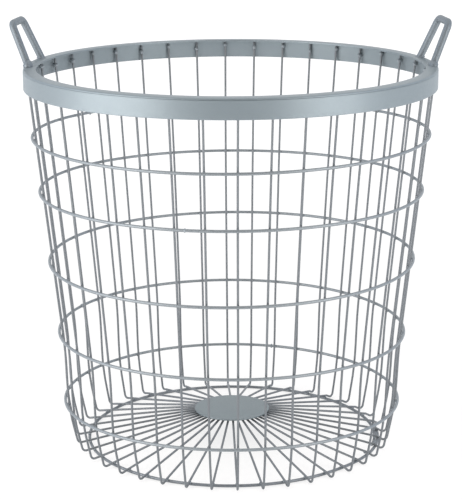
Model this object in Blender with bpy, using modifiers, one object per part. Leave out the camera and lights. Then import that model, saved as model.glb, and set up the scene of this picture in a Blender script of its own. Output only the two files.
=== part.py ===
"""A round wire basket of painted steel: a tapered wall of straight uprights held by five hoops,
a flanged rim band, a base that rises to a centre plate, and two fixed loop handles.

Units are metres. Z points up, the floor is Z = 0 and the front is -Y.
"""

import math

import bmesh
import bpy
from mathutils import Vector

COLLECTION_NAME = "wire_basket"

# Overall sizes
BODY_HEIGHT = 0.3975
RIM_OUTER_DIAMETER = 0.420
JOINT_GAP = 0.0003

# Rim band: a strip hoop with a flange turned in at the top
RIM_BAND_HEIGHT = 0.0201
RIM_FLANGE_WIDTH = 0.013
RIM_SHEET_THICKNESS = 0.0018
RIM_CORNER_RADIUS = 0.0012
RIM_EDGE_RADIUS = 0.0004
RIM_STEPS = 80
RIM_CORNER_STEPS = 3

# Uprights: each wire is a wall wire and a base spoke in one piece
UPRIGHT_COUNT = 40
UPRIGHT_WIRE_DIAMETER = 0.0023
UPRIGHT_BEND_RADIUS = 0.004
UPRIGHT_BEND_STEPS = 3
WALL_TAPER = 0.1055
SPOKE_RISE = 0.183
SPOKE_UNDER_PLATE = 0.011

# Outside the base ring the wires dip on their way to the bend, most at the right
FOOT_DIP = 0.0017
FOOT_DIP_DRIFT = 0.0009

# The uprights start a part of a pitch off the right-hand side and are spread by hand,
# so they drift by a small part of a pitch towards one side of the basket
UPRIGHT_START_SHARE = 0.21
UPRIGHT_DRIFT_SHARE = 0.055
UPRIGHT_DRIFT_TURN = math.radians(190.0)

# Hoops, from the top one down: height as a share of the body height, then how far each one
# rises to the right, to the back, and at both sides over front and back, as shares of its radius
HOOP_WIRE_DIAMETER = 0.0031
HOOP_HEIGHT_SHARES = (0.8242, 0.6828, 0.4991, 0.3054, 0.1170)
HOOP_RIGHT_RISE_SHARES = (0.0055, 0.0018, 0.0058, -0.0049, -0.0041)
HOOP_BACK_RISE_SHARES = (0.0004, 0.0001, 0.0139, 0.0015, -0.0080)
HOOP_SIDES_RISE_SHARES = (0.0057, 0.0010, 0.0012, -0.0031, -0.0051)
HOOP_POINTS_PER_UPRIGHT = 2

# Base ring: one wire whose ends lie side by side over a short lap at the right
BASE_RING_INSET = 0.013
LAP_START = math.radians(10.0)
LAP_END = math.radians(-14.0)
LAP_EASE_END = math.radians(-50.0)
BASE_RING_STEPS = 72

# Centre plate: a plain disc on the inner ends of the spokes
CENTRE_PLATE_DIAMETER = 0.079
CENTRE_PLATE_THICKNESS = 0.0015
CENTRE_PLATE_EDGE = 0.0004
CENTRE_PLATE_STEPS = 40

# Handles: two round-bar loops that stand on the rim flange and lean out
HANDLE_ROD_DIAMETER = 0.0075
HANDLE_FOOT_INSET = 0.006
HANDLE_FOOT_SPACING = 0.056
HANDLE_TOP_SPACING = 0.041
HANDLE_RISE = 0.0413
HANDLE_LEAN_OUT = 0.0174
HANDLE_BEND_RADIUS = 0.0075
HANDLE_BEND_STEPS = 5
HANDLE_BACK_TURN = math.radians(8.0)

# Number of sides that Blender gives a round bevel: 4 + 2 x resolution
WIRE_BEVEL_RESOLUTION = 2
ROD_BEVEL_RESOLUTION = 4

# Sizes that follow from the ones above
RIM_OUTER_RADIUS = RIM_OUTER_DIAMETER / 2
UPRIGHT_WIRE_RADIUS = UPRIGHT_WIRE_DIAMETER / 2
HOOP_WIRE_RADIUS = HOOP_WIRE_DIAMETER / 2
CENTRE_PLATE_RADIUS = CENTRE_PLATE_DIAMETER / 2
SPOKE_END_RADIUS = CENTRE_PLATE_RADIUS - SPOKE_UNDER_PLATE
WALL_ANGLE = math.atan(WALL_TAPER)
SPOKE_ANGLE = math.atan(SPOKE_RISE)
CROSSING_DISTANCE = UPRIGHT_WIRE_RADIUS + HOOP_WIRE_RADIUS + JOINT_GAP
LAP_OFFSET = HOOP_WIRE_DIAMETER + JOINT_GAP
LAP_DROP = LAP_OFFSET * SPOKE_RISE
BASE_RING_HEIGHT = HOOP_WIRE_RADIUS + LAP_DROP
PITCH = math.tau / UPRIGHT_COUNT

# Colours in linear light
RIM_COLOUR = (0.33, 0.37, 0.40, 1.0)
WIRE_COLOUR = (0.20, 0.23, 0.25, 1.0)
HOOP_COLOUR = (0.24, 0.27, 0.29, 1.0)
PLATE_COLOUR = (0.26, 0.29, 0.31, 1.0)
HANDLE_COLOUR = (0.28, 0.31, 0.34, 1.0)
PAINT_ROUGHNESS = 0.45


def clear_scene():
    """Remove whatever the start-up file holds."""
    for item in list(bpy.data.objects):
        bpy.data.objects.remove(item, do_unlink=True)


def part_collection():
    """Return the collection that holds every sub-part."""
    collection = bpy.data.collections.new(COLLECTION_NAME)
    bpy.context.scene.collection.children.link(collection)
    return collection


def paint(name, colour):
    """Return a plain painted-steel material."""
    material = bpy.data.materials.new(name)
    material.use_nodes = True
    shader = material.node_tree.nodes["Principled BSDF"]
    shader.inputs["Base Color"].default_value = colour
    shader.inputs["Roughness"].default_value = PAINT_ROUGHNESS
    material.diffuse_color = colour
    return material


def rim_paint():
    """Return the rim band's material."""
    return paint("rim_paint", RIM_COLOUR)


def upright_paint():
    """Return the material of the uprights."""
    return paint("upright_paint", WIRE_COLOUR)


def hoop_paint():
    """Return the material of the hoops."""
    return paint("hoop_paint", HOOP_COLOUR)


def base_ring_paint():
    """Return the base ring's material."""
    return paint("base_ring_paint", HOOP_COLOUR)


def centre_plate_paint():
    """Return the centre plate's material."""
    return paint("centre_plate_paint", PLATE_COLOUR)


def handle_paint():
    """Return the material of the handles."""
    return paint("handle_paint", HANDLE_COLOUR)


def add_object(name, data, collection, turn=0.0):
    """Put data into the collection as a named object turned about the basket's axis."""
    item = bpy.data.objects.new(name, data)
    item.rotation_euler = (0.0, 0.0, turn)
    collection.objects.link(item)
    return item


def rounded_corner(before, corner, after, radius, steps):
    """Return the points of an arc that rounds the corner between two straight runs."""
    to_before = (before - corner).normalized()
    to_after = (after - corner).normalized()
    half_angle = to_before.angle(to_after) / 2
    start = corner + to_before * (radius / math.tan(half_angle))
    end = corner + to_after * (radius / math.tan(half_angle))
    centre = corner + (to_before + to_after).normalized() * (radius / math.sin(half_angle))
    sweep = (start - centre).angle(end - centre)
    points = []
    for step in range(steps + 1):
        part = step / steps
        from_start = (start - centre) * (math.sin((1 - part) * sweep) / math.sin(sweep))
        from_end = (end - centre) * (math.sin(part * sweep) / math.sin(sweep))
        points.append(centre + from_start + from_end)
    return points


def wire_curve(name, points, diameter, resolution, closed, material):
    """Return curve data for a round wire along the points."""
    curve = bpy.data.curves.new(name, "CURVE")
    curve.dimensions = "3D"
    curve.bevel_depth = diameter / 2
    curve.bevel_resolution = resolution
    curve.use_fill_caps = True
    spline = curve.splines.new("POLY")
    spline.points.add(len(points) - 1)
    for spot, point in zip(spline.points, points):
        spot.co = (*point, 1.0)
    spline.use_cyclic_u = closed
    curve.materials.append(material)
    return curve


def profile_mesh(name, points, closed, material):
    """Return a mesh that holds only the edges of a profile in the XZ plane."""
    edges = [(index, index + 1) for index in range(len(points) - 1)]
    if closed:
        edges.append((len(points) - 1, 0))
    mesh = bpy.data.meshes.new(name)
    mesh.from_pydata([tuple(point) for point in points], edges, [])
    mesh.materials.append(material)
    return mesh


def turn_profile(item, steps):
    """Turn an object's profile about its Z axis with a Screw modifier."""
    screw = item.modifiers.new("turn", "SCREW")
    screw.axis = "Z"
    screw.angle = math.tau
    screw.steps = steps
    screw.render_steps = steps
    screw.use_merge_vertices = True
    screw.merge_threshold = 0.00001
    screw.use_smooth_shade = True


def upright_angle(place):
    """Return the angle of an upright, or of a place between two of them, about the axis."""
    even_angle = place * PITCH
    drift = UPRIGHT_DRIFT_SHARE * math.cos(even_angle - UPRIGHT_DRIFT_TURN)
    return even_angle + PITCH * (UPRIGHT_START_SHARE + drift)


def upright_top():
    """Return the top of an upright's centre line, tucked under the flange inside the band."""
    inside = RIM_OUTER_RADIUS - RIM_SHEET_THICKNESS - JOINT_GAP
    radius = inside - UPRIGHT_WIRE_RADIUS / math.cos(WALL_ANGLE)
    under_flange = BODY_HEIGHT - RIM_SHEET_THICKNESS - JOINT_GAP
    height = under_flange - UPRIGHT_WIRE_RADIUS * math.sin(WALL_ANGLE)
    return Vector((radius, 0.0, height))


def wall_radius(height):
    """Return the radius of the uprights' centre lines at a height."""
    top = upright_top()
    return top.x - WALL_TAPER * (top.z - height)


def base_ring_radius():
    """Return the radius of the base ring's centre line, which lies inside the foot of the wall."""
    return wall_radius(0.0) - BASE_RING_INSET


def spoke_height(radius):
    """Return the height of the spokes' centre lines at a radius."""
    over_ring = BASE_RING_HEIGHT + CROSSING_DISTANCE / math.cos(SPOKE_ANGLE)
    return over_ring + SPOKE_RISE * (base_ring_radius() - radius)


def bottom_corner(angle):
    """Return the point where the wall line of an upright meets its dipped spoke line."""
    dip = FOOT_DIP + FOOT_DIP_DRIFT * math.cos(angle)
    wall_at_floor = wall_radius(0.0)
    spoke_at_axis = spoke_height(0.0) - dip
    height = (spoke_at_axis - SPOKE_RISE * wall_at_floor) / (1 + SPOKE_RISE * WALL_TAPER)
    return Vector((wall_radius(height), 0.0, height))


def upright_points(angle):
    """Return the centre line of an upright from under the flange to under the centre plate."""
    top = upright_top()
    corner = bottom_corner(angle)
    over_lap_radius = base_ring_radius() + LAP_OFFSET
    over_lap = Vector((over_lap_radius, 0.0, spoke_height(over_lap_radius)))
    inner_end = Vector((SPOKE_END_RADIUS, 0.0, spoke_height(SPOKE_END_RADIUS)))
    bend = rounded_corner(top, corner, over_lap, UPRIGHT_BEND_RADIUS, UPRIGHT_BEND_STEPS)
    return [top, *bend, over_lap, inner_end]


def hoop_points(height_share, right_rise, back_rise, sides_rise):
    """Return the centre line of a hoop, which lies against the outside of the uprights."""
    middle_height = BODY_HEIGHT * height_share
    middle_radius = wall_radius(middle_height)
    clear_of_wire = CROSSING_DISTANCE / math.cos(WALL_ANGLE)
    points = []
    for place in range(UPRIGHT_COUNT * HOOP_POINTS_PER_UPRIGHT):
        angle = upright_angle(place / HOOP_POINTS_PER_UPRIGHT)
        rise = right_rise * math.cos(angle) + back_rise * math.sin(angle)
        rise += sides_rise * math.cos(2 * angle)
        height = middle_height + middle_radius * rise
        radius = wall_radius(height) + clear_of_wire
        points.append(Vector((radius * math.cos(angle), radius * math.sin(angle), height)))
    return points


def lap_share(angle):
    """Return how far the ring's outer end stands off its circle, from 0 to 1."""
    if angle > LAP_END:
        return 1.0
    if angle < LAP_EASE_END:
        return 0.0
    part = (angle - LAP_EASE_END) / (LAP_END - LAP_EASE_END)
    return (1 - math.cos(math.pi * part)) / 2


def base_ring_points():
    """Return the centre line of the base ring, clockwise from its outer end at the right."""
    whole_sweep = math.tau + LAP_START - LAP_END
    steps = round(BASE_RING_STEPS * whole_sweep / math.tau)
    points = []
    for step in range(steps + 1):
        angle = LAP_START - whole_sweep * step / steps
        share = lap_share(angle)
        radius = base_ring_radius() + LAP_OFFSET * share
        height = BASE_RING_HEIGHT - LAP_DROP * share
        points.append(Vector((radius * math.cos(angle), radius * math.sin(angle), height)))
    return points


def rim_profile():
    """Return the closed L-shaped section of the rim band, down its outer side first."""
    top = BODY_HEIGHT
    bottom = BODY_HEIGHT - RIM_BAND_HEIGHT
    under = BODY_HEIGHT - RIM_SHEET_THICKNESS
    outer = RIM_OUTER_RADIUS
    inner = RIM_OUTER_RADIUS - RIM_SHEET_THICKNESS
    lip = RIM_OUTER_RADIUS - RIM_FLANGE_WIDTH
    lip_top = Vector((lip, 0.0, top))
    outer_top = Vector((outer, 0.0, top))
    outer_bottom = Vector((outer, 0.0, bottom))
    inner_bottom = Vector((inner, 0.0, bottom))
    inner_corner = Vector((inner, 0.0, under))
    lip_under = Vector((lip, 0.0, under))
    points = rounded_corner(lip_under, lip_top, outer_top, RIM_EDGE_RADIUS, 1)
    points += rounded_corner(lip_top, outer_top, outer_bottom, RIM_CORNER_RADIUS, RIM_CORNER_STEPS)
    points += rounded_corner(outer_top, outer_bottom, inner_bottom, RIM_EDGE_RADIUS, 1)
    points += rounded_corner(outer_bottom, inner_bottom, inner_corner, RIM_EDGE_RADIUS, 1)
    points.append(inner_corner)
    points += rounded_corner(inner_corner, lip_under, lip_top, RIM_EDGE_RADIUS, 1)
    return points


def centre_plate_profile():
    """Return the section of the centre plate from its top centre to its bottom centre."""
    clearance = JOINT_GAP + UPRIGHT_WIRE_RADIUS * math.cos(SPOKE_ANGLE)
    bottom = spoke_height(SPOKE_END_RADIUS) + clearance
    top = bottom + CENTRE_PLATE_THICKNESS
    top_edge = Vector((CENTRE_PLATE_RADIUS, 0.0, top))
    bottom_edge = Vector((CENTRE_PLATE_RADIUS, 0.0, bottom))
    top_centre = Vector((0.0, 0.0, top))
    bottom_centre = Vector((0.0, 0.0, bottom))
    points = [top_centre]
    points += rounded_corner(top_centre, top_edge, bottom_edge, CENTRE_PLATE_EDGE, 1)
    points += rounded_corner(top_edge, bottom_edge, bottom_centre, CENTRE_PLATE_EDGE, 1)
    points.append(bottom_centre)
    return points


def handle_points():
    """Return the centre line of a handle on the +X side, its legs run on past the flange."""
    foot_radius = RIM_OUTER_RADIUS - HANDLE_FOOT_INSET
    half_foot = HANDLE_FOOT_SPACING / 2
    half_top = HANDLE_TOP_SPACING / 2
    top_height = BODY_HEIGHT + HANDLE_RISE
    front_top = Vector((foot_radius + HANDLE_LEAN_OUT, -half_top, top_height))
    back_top = Vector((foot_radius + HANDLE_LEAN_OUT, half_top, top_height))
    front_foot = Vector((foot_radius, -half_foot, BODY_HEIGHT))
    back_foot = Vector((foot_radius, half_foot, BODY_HEIGHT))
    run_on = HANDLE_ROD_DIAMETER / HANDLE_RISE
    front_end = front_foot + (front_foot - front_top) * run_on
    back_end = back_foot + (back_foot - back_top) * run_on
    first_bend = rounded_corner(front_end, front_top, back_top, HANDLE_BEND_RADIUS, HANDLE_BEND_STEPS)
    second_bend = rounded_corner(front_top, back_top, back_end, HANDLE_BEND_RADIUS, HANDLE_BEND_STEPS)
    return [front_end, *first_bend, *second_bend, back_end]


def handle_mesh(material):
    """Return the mesh of a handle with its feet cut level just above the flange."""
    curve = wire_curve(
        "handle_rod", handle_points(), HANDLE_ROD_DIAMETER, ROD_BEVEL_RESOLUTION, False, material
    )
    rod = bpy.data.objects.new("handle_rod", curve)
    mesh = bpy.data.meshes.new_from_object(rod)
    bpy.data.objects.remove(rod)
    cut_level = BODY_HEIGHT + JOINT_GAP
    shape = bmesh.new()
    shape.from_mesh(mesh)
    bmesh.ops.remove_doubles(shape, verts=shape.verts, dist=JOINT_GAP / 100)
    whole = list(shape.verts) + list(shape.edges) + list(shape.faces)
    bmesh.ops.bisect_plane(
        shape, geom=whole, plane_co=(0.0, 0.0, cut_level), plane_no=(0.0, 0.0, 1.0), clear_inner=True
    )
    open_edges = [edge for edge in shape.edges if edge.is_boundary]
    bmesh.ops.holes_fill(shape, edges=open_edges)
    bmesh.ops.recalc_face_normals(shape, faces=shape.faces)
    for face in shape.faces:
        face.smooth = face.normal.z > -math.cos(WALL_ANGLE)
    shape.to_mesh(mesh)
    shape.free()
    return mesh


def add_rim_band(collection):
    """Add the rim band."""
    mesh = profile_mesh("rim_band", rim_profile(), True, rim_paint())
    item = add_object("rim_band", mesh, collection)
    turn_profile(item, RIM_STEPS)


def add_uprights(collection):
    """Add the uprights, each bent in its own radial plane."""
    material = upright_paint()
    for number in range(UPRIGHT_COUNT):
        name = f"upright_{number + 1:02d}"
        angle = upright_angle(number)
        points = upright_points(angle)
        curve = wire_curve(name, points, UPRIGHT_WIRE_DIAMETER, WIRE_BEVEL_RESOLUTION, False, material)
        add_object(name, curve, collection, angle)


def add_hoops(collection):
    """Add the hoops, numbered from the top one down."""
    material = hoop_paint()
    layouts = zip(
        HOOP_HEIGHT_SHARES, HOOP_RIGHT_RISE_SHARES, HOOP_BACK_RISE_SHARES, HOOP_SIDES_RISE_SHARES
    )
    for number, layout in enumerate(layouts, start=1):
        name = f"hoop_{number}"
        points = hoop_points(*layout)
        curve = wire_curve(name, points, HOOP_WIRE_DIAMETER, WIRE_BEVEL_RESOLUTION, True, material)
        add_object(name, curve, collection)


def add_base_ring(collection):
    """Add the base ring that the spokes lie on."""
    curve = wire_curve(
        "base_ring",
        base_ring_points(),
        HOOP_WIRE_DIAMETER,
        WIRE_BEVEL_RESOLUTION,
        False,
        base_ring_paint(),
    )
    add_object("base_ring", curve, collection)


def add_centre_plate(collection):
    """Add the plate over the inner ends of the spokes."""
    mesh = profile_mesh("centre_plate", centre_plate_profile(), False, centre_plate_paint())
    item = add_object("centre_plate", mesh, collection)
    turn_profile(item, CENTRE_PLATE_STEPS)


def add_handles(collection):
    """Add the two handles, both set a little to the back of the basket's sides."""
    mesh = handle_mesh(handle_paint())
    add_object("handle_right", mesh, collection, HANDLE_BACK_TURN)
    add_object("handle_left", mesh, collection, math.pi - HANDLE_BACK_TURN)


def main():
    """Build the basket."""
    clear_scene()
    collection = part_collection()
    add_rim_band(collection)
    add_uprights(collection)
    add_hoops(collection)
    add_base_ring(collection)
    add_centre_plate(collection)
    add_handles(collection)


main()
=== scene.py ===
"""Finish of a round wire basket: rim band, uprights, hoops, base ring, centre plate and handles.

Units are metres. Z points up, the floor is Z = 0 and the front is -Y. Each piece is a finer mesh in the
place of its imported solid, and the welds, the rim's rounded corner and the sprayed coat are added.
"""

import logging
import math
import random
from dataclasses import dataclass, field
from enum import Enum
from typing import Any, Callable

import bmesh
import bpy
from mathutils import Matrix, Vector


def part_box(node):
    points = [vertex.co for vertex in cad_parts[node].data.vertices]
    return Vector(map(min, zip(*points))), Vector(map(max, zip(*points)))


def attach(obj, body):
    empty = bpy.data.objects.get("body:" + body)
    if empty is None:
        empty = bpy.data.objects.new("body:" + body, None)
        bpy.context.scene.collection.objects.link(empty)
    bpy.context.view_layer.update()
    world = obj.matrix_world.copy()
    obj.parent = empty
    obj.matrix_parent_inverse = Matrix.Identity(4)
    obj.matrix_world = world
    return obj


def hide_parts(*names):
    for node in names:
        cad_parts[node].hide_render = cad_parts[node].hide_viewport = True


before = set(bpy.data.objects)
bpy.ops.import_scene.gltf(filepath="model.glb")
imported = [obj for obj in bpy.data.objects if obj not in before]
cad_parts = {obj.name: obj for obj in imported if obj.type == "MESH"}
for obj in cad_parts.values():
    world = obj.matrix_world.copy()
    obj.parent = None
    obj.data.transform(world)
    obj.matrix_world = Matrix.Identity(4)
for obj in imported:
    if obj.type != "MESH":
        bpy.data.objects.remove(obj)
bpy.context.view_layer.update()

log = logging.getLogger("wire_basket")

BODY = "root"
MILLIMETRE = 0.001
SAME_PLACE = 1e-6
ORIGIN = Vector((0.0, 0.0, 0.0))
UP = Vector((0.0, 0.0, 1.0))
WHITE = (1.0, 1.0, 1.0, 1.0)
# Turns a weld so that it lies slantwise over two crossing wires.
SLANTWISE = Matrix.Rotation(math.pi / 4, 4, "X")

Piece = bpy.types.Object
Material = bpy.types.Material
Tree = bpy.types.NodeTree
# A weld's place and turn, and its size along its own axes.
Spot = tuple[Matrix, Vector]


class PaintSlot(Enum):
    """Names of the painted surfaces, one for each kind of part."""

    RIM = "rim_paint"
    UPRIGHT = "upright_paint"
    HOOP = "hoop_paint"
    BASE_RING = "base_ring_paint"
    PLATE = "centre_plate_paint"
    HANDLE = "handle_paint"


class Side(Enum):
    """The side of the rim that a handle stands on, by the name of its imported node."""

    RIGHT = "handle_right"
    LEFT = "handle_left"


class Element(Enum):
    """What can be picked in a mesh."""

    EDGE = "EDGE"
    FACE = "FACE"


def linear_colour(code: str) -> tuple[float, float, float, float]:
    """Turn an sRGB hex colour into linear light, by the straight toe and power curve of sRGB.

    Args:
        code: Six hex digits, with or without a leading hash mark.

    Returns:
        The linear red, green and blue, and an alpha of one.
    """
    digits = code.lstrip("#")
    channels = []
    for start in (0, 2, 4):
        value = int(digits[start:start + 2], 16) / 255
        channels.append(value / 12.92 if value <= 0.04045 else ((value + 0.055) / 1.055) ** 2.4)
    return (*channels, 1.0)


def empty_tree(owner: Material | bpy.types.World) -> Tree:
    """Give a new material or world a node tree and empty it.

    Args:
        owner: The material or world.

    Returns:
        Its tree, with no nodes.
    """
    owner.use_nodes = True
    owner.node_tree.nodes.clear()
    return owner.node_tree


def add_node(
    tree: Tree, kind: str, inputs: dict[str | int, Any] | None = None, **settings: Any
) -> bpy.types.Node:
    """Add a shader node with its settings, and fill or link its inputs.

    Args:
        tree: The node tree that takes the node.
        kind: Blender's type name of the node, without the leading "ShaderNode".
        inputs: For each input, by name or number, a value or the output that feeds it.
        **settings: Values of the node's own properties.

    Returns:
        The new node.
    """
    node = tree.nodes.new(f"ShaderNode{kind}")
    for name, value in settings.items():
        setattr(node, name, value)
    for name, value in (inputs or {}).items():
        if isinstance(value, bpy.types.NodeSocket):
            tree.links.new(value, node.inputs[name])
        else:
            node.inputs[name].default_value = value
    return node


@dataclass(frozen=True)
class PowderCoat:
    """Powder paint baked on steel: a satin skin with a fine orange peel.

    Real peel has dimples about a millimetre apart and some micrometres deep. That is too fine to show,
    so it is drawn wider apart and deeper.

    Attributes:
        name: What the material is called.
        colour: The paint's sRGB hex colour.
        thin_colour: The colour where the coat is a little thinner, as an sRGB hex value.
        roughness: The paint's mean roughness.
        roughness_swing: How far the roughness wanders up and down.
        peel_spacing: Distance between the dimples of the orange peel.
        peel_depth: Depth of the dimples.
        cloud_spacing: Size of the patches where the coat is thinner.
        flake: Share of aluminium flake in the paint.
    """

    name: str
    colour: str
    thin_colour: str
    roughness: float = 0.45
    roughness_swing: float = 0.08
    peel_spacing: float = 2.2 * MILLIMETRE
    peel_depth: float = 0.03 * MILLIMETRE
    cloud_spacing: float = 24.0 * MILLIMETRE
    flake: float = 0.55

    def material(self) -> Material:
        """Build the paint's shader.

        Returns:
            A node material on Object coordinates.
        """
        material = bpy.data.materials.new(self.name)
        tree = empty_tree(material)
        place = add_node(tree, "TexCoord").outputs["Object"]
        patches = {"Vector": place, "Scale": 1 / self.cloud_spacing, "Detail": 3.0, "Roughness": 0.6}
        cloud = add_node(tree, "TexNoise", patches).outputs["Fac"]
        bumps = {"Vector": place, "Scale": 1 / self.peel_spacing, "Detail": 1.0, "Roughness": 0.4}
        peel = add_node(tree, "TexNoise", bumps).outputs["Fac"]
        thin, full = linear_colour(self.thin_colour), linear_colour(self.colour)
        tone = add_node(tree, "Mix", {"Factor": cloud, "A": thin, "B": full}, data_type="RGBA")
        least, most = self.roughness - self.roughness_swing, self.roughness + self.roughness_swing
        gloss = add_node(tree, "MapRange", {"Value": peel, "To Min": least, "To Max": most})
        dimples = add_node(tree, "Bump", {"Height": peel, "Distance": self.peel_depth, "Strength": 1.0})
        shader = add_node(
            tree,
            "BsdfPrincipled",
            {
                "Base Color": tone.outputs["Result"],
                "Roughness": gloss.outputs["Result"],
                "Normal": dimples.outputs["Normal"],
                "Metallic": self.flake,
            },
        )
        add_node(tree, "OutputMaterial", {"Surface": shader.outputs["BSDF"]})
        return material


@dataclass(frozen=True)
class Paintwork:
    """The finishes of the whole basket: one paint, sprayed on steel that was made in several ways."""

    # Roller-formed steel strip: broad smooth faces, so the peel and the clouds of the coat show.
    band: PowderCoat = PowderCoat("powder_coated_rolled_strip", "#939B9E", "#8D9598")
    # Drawn wire takes the same paint as the strip, set darker here: painted shade, for the shade that
    # falls across the thin round wire.
    wire: PowderCoat = PowderCoat("powder_coated_drawn_wire", "#838587", "#7C7E80")
    # The hoops' wire takes the same paint in a lighter tone: painted light, for the light that falls on
    # the hoops' upper sides.
    hoop: PowderCoat = PowderCoat("powder_coated_hoop_wire", "#999D9F", "#929698")
    # The base ring's wire takes the same paint in a tone between the two.
    ring: PowderCoat = PowderCoat("powder_coated_ring_wire", "#898C8F", "#828588")
    # Blanked steel disc: flat, so its coat is even and a little more matt.
    plate: PowderCoat = PowderCoat("powder_coated_blanked_disc", "#8B9395", "#878F91", roughness=0.5)
    # Hot-bent round bar: its coat is the thickest and the most matt.
    bar: PowderCoat = PowderCoat("powder_coated_bent_bar", "#888E92", "#81878B", roughness=0.54)
    # Weld beads are rough under the paint, so they look coarse; their paint is set a little lighter.
    bead: PowderCoat = PowderCoat(
        "powder_coated_weld_bead", "#A5AAAD", "#989DA0", roughness=0.5, peel_depth=0.12 * MILLIMETRE
    )


@dataclass(frozen=True)
class Corner:
    """An arc that rounds the corner between two straight runs.

    Attributes:
        start: Where the arc leaves the first run.
        end: Where it meets the second run.
        centre: The arc's centre.
        axis: The axis that the arc turns about.
        sweep: The angle that it turns through.
    """

    start: Vector
    end: Vector
    centre: Vector
    axis: Vector
    sweep: float

    @classmethod
    def between(cls, before: Vector, corner: Vector, after: Vector, radius: float) -> "Corner":
        """Fit an arc of a radius into a corner.

        Args:
            before: A point on the first run.
            corner: The sharp corner.
            after: A point on the second run.
            radius: The arc's radius.

        Returns:
            The arc.
        """
        to_before = (before - corner).normalized()
        to_after = (after - corner).normalized()
        half_angle = to_before.angle(to_after) / 2
        start = corner + to_before * (radius / math.tan(half_angle))
        end = corner + to_after * (radius / math.tan(half_angle))
        centre = corner + (to_before + to_after).normalized() * (radius / math.sin(half_angle))
        axis = (start - centre).cross(end - centre).normalized()
        return cls(start, end, centre, axis, (start - centre).angle(end - centre))


@dataclass(frozen=True)
class HoopLine:
    """The height law of one hoop.

    Attributes:
        height_share: Its mean height as a share of the body height.
        right_rise: How far it rises to the right, as a share of its radius.
        back_rise: How far it rises to the back.
        sides_rise: How far both sides rise over front and back.
        seam_turn: Angle of the butt joint of its two ends.
    """

    height_share: float
    right_rise: float
    back_rise: float
    sides_rise: float
    seam_turn: float


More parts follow.
